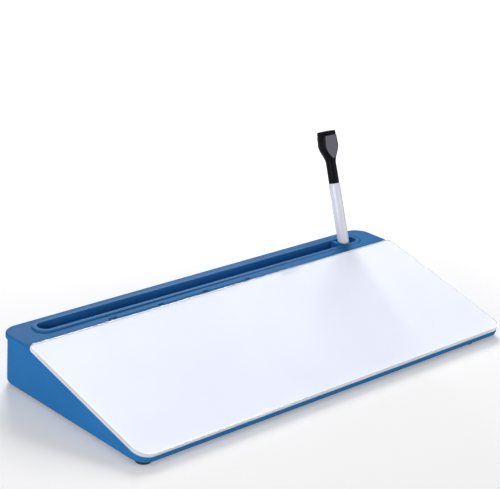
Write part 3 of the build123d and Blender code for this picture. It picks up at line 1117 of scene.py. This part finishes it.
@dataclass(frozen=True)
class PhotoCamera:
    """Camera at the photograph's viewing angle."""

    azimuth: float = -43.93
    elevation: float = 21.17
    roll: float = 3.75
    lens: float = 119.63
    distance: float = 1.23619
    aside: float = -0.0672
    above: float = 0.11103
    sensor: float = 36
    nearest: float = 0.05
    furthest: float = 20

    def set_up(self, target: Vector) -> None:
        """Stands off from a target, turned and rolled, then moved aside and up in its own frame.

        Args:
            target: Point on the board's front edge, at the underside of the tray.
        """
        turn, rise, roll = radians(self.azimuth), radians(self.elevation), radians(self.roll)
        back = Vector((sin(turn) * cos(rise), -cos(turn) * cos(rise), sin(rise)))
        level = Vector((cos(turn), sin(turn), 0))
        upright = back.cross(level)
        right = level * cos(roll) + upright * sin(roll)
        up = upright * cos(roll) - level * sin(roll)
        camera = bpy.data.cameras.new("photo_camera")
        camera.sensor_fit = "HORIZONTAL"
        camera.sensor_width = self.sensor
        camera.lens = self.lens
        camera.clip_start = self.nearest
        camera.clip_end = self.furthest
        holder = bpy.data.objects.new("photo_camera", camera)
        stand = target + back * self.distance + right * self.aside + up * self.above
        turned = Matrix((right, up, back)).transposed().to_4x4()
        holder.matrix_world = Matrix.Translation(stand) @ turned
        bpy.context.scene.collection.objects.link(holder)
        bpy.context.scene.camera = holder


@dataclass(frozen=True)
class Studio:
    """Pale floor, white surroundings and soft lamps."""

    floor_colour: Colour = (0.94, 0.94, 0.96)
    floor_size: float = 8
    floor_patch: float = 0.4
    floor_drift: float = 0.005
    floor_glow: float = 0.22
    ambient: float = 0.15
    aim: tuple[float, float, float] = (0, 0, 0.02)

    def lay_floor(self) -> None:
        """Lays a wide square floor at Z = 0, with a faint white glow for rays that look at it."""
        half = self.floor_size / 2
        corners = [(-half, -half, 0), (half, -half, 0), (half, half, 0), (-half, half, 0)]
        mesh = bpy.data.meshes.new("floor")
        mesh.from_pydata(corners, [], [(0, 1, 2, 3)])
        floor = bpy.data.objects.new("floor", mesh)
        bpy.context.scene.collection.objects.link(floor)
        board = NodeBoard("floor_paper")
        board.tint(board.noise(self.floor_patch), self.floor_colour, self.floor_drift)
        board.set(Roughness=0.9, Specular_IOR_Level=0.1)
        glow = ranged(board.tree, looked_at(board.tree), 0, self.floor_glow)
        board.join(glow, board.shader.inputs["Emission Strength"])
        board.set(Emission_Color=(1, 1, 1, 1))
        mesh.materials.append(board.material)
        floor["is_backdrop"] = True

    def light_world(self) -> None:
        """White surroundings to look at, and a plain soft light from them."""
        world = bpy.data.worlds.new("studio")
        world.use_nodes = True
        tree = world.node_tree
        background = tree.nodes["Background"]
        background.inputs["Color"].default_value = (1, 1, 1, 1)
        level = ranged(tree, looked_at(tree), self.ambient, 1)
        tree.links.new(level, background.inputs["Strength"])
        bpy.context.scene.world = world

    def build(self) -> None:
        """Sets up floor, world and lamps."""
        self.lay_floor()
        self.light_world()
        for lamp in (
            SoftBox("key", (0.94, 1.3, 0.92), size=0.7, power=29.7, colour=(1, 0.99, 0.97)),
            SoftBox("left_fill", (-1.5, -0.5, 0.15), size=0.9, power=21.4, colour=(0.98, 0.99, 1)),
            SoftBox("front_strip", (1.0, -1.15, 0.3), size=0.6, power=5.7),
            SoftBox("top", (0, 0, 1.6), size=1.2, power=2),
        ):
            lamp.hang(self.aim)
        bpy.context.scene.view_settings.view_transform = "Standard"


def main() -> None:
    """Loads the frame and builds the pieces in order."""
    logging.basicConfig(level=logging.INFO, format="%(name)s: %(message)s")
    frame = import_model()
    cad_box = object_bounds()
    shelf = FinishShelf(frame)
    shelf.dress_nodes()
    GlassLid().build(shelf)
    HingePin().build(shelf)
    Marker().build(shelf)
    Feet().build(shelf)
    Studio().build()
    front_edge = Vector((0, cad_box[0][1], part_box("tray_body")[0][2]))
    PhotoCamera().set_up(front_edge)


if __name__ == "__main__":
    main()
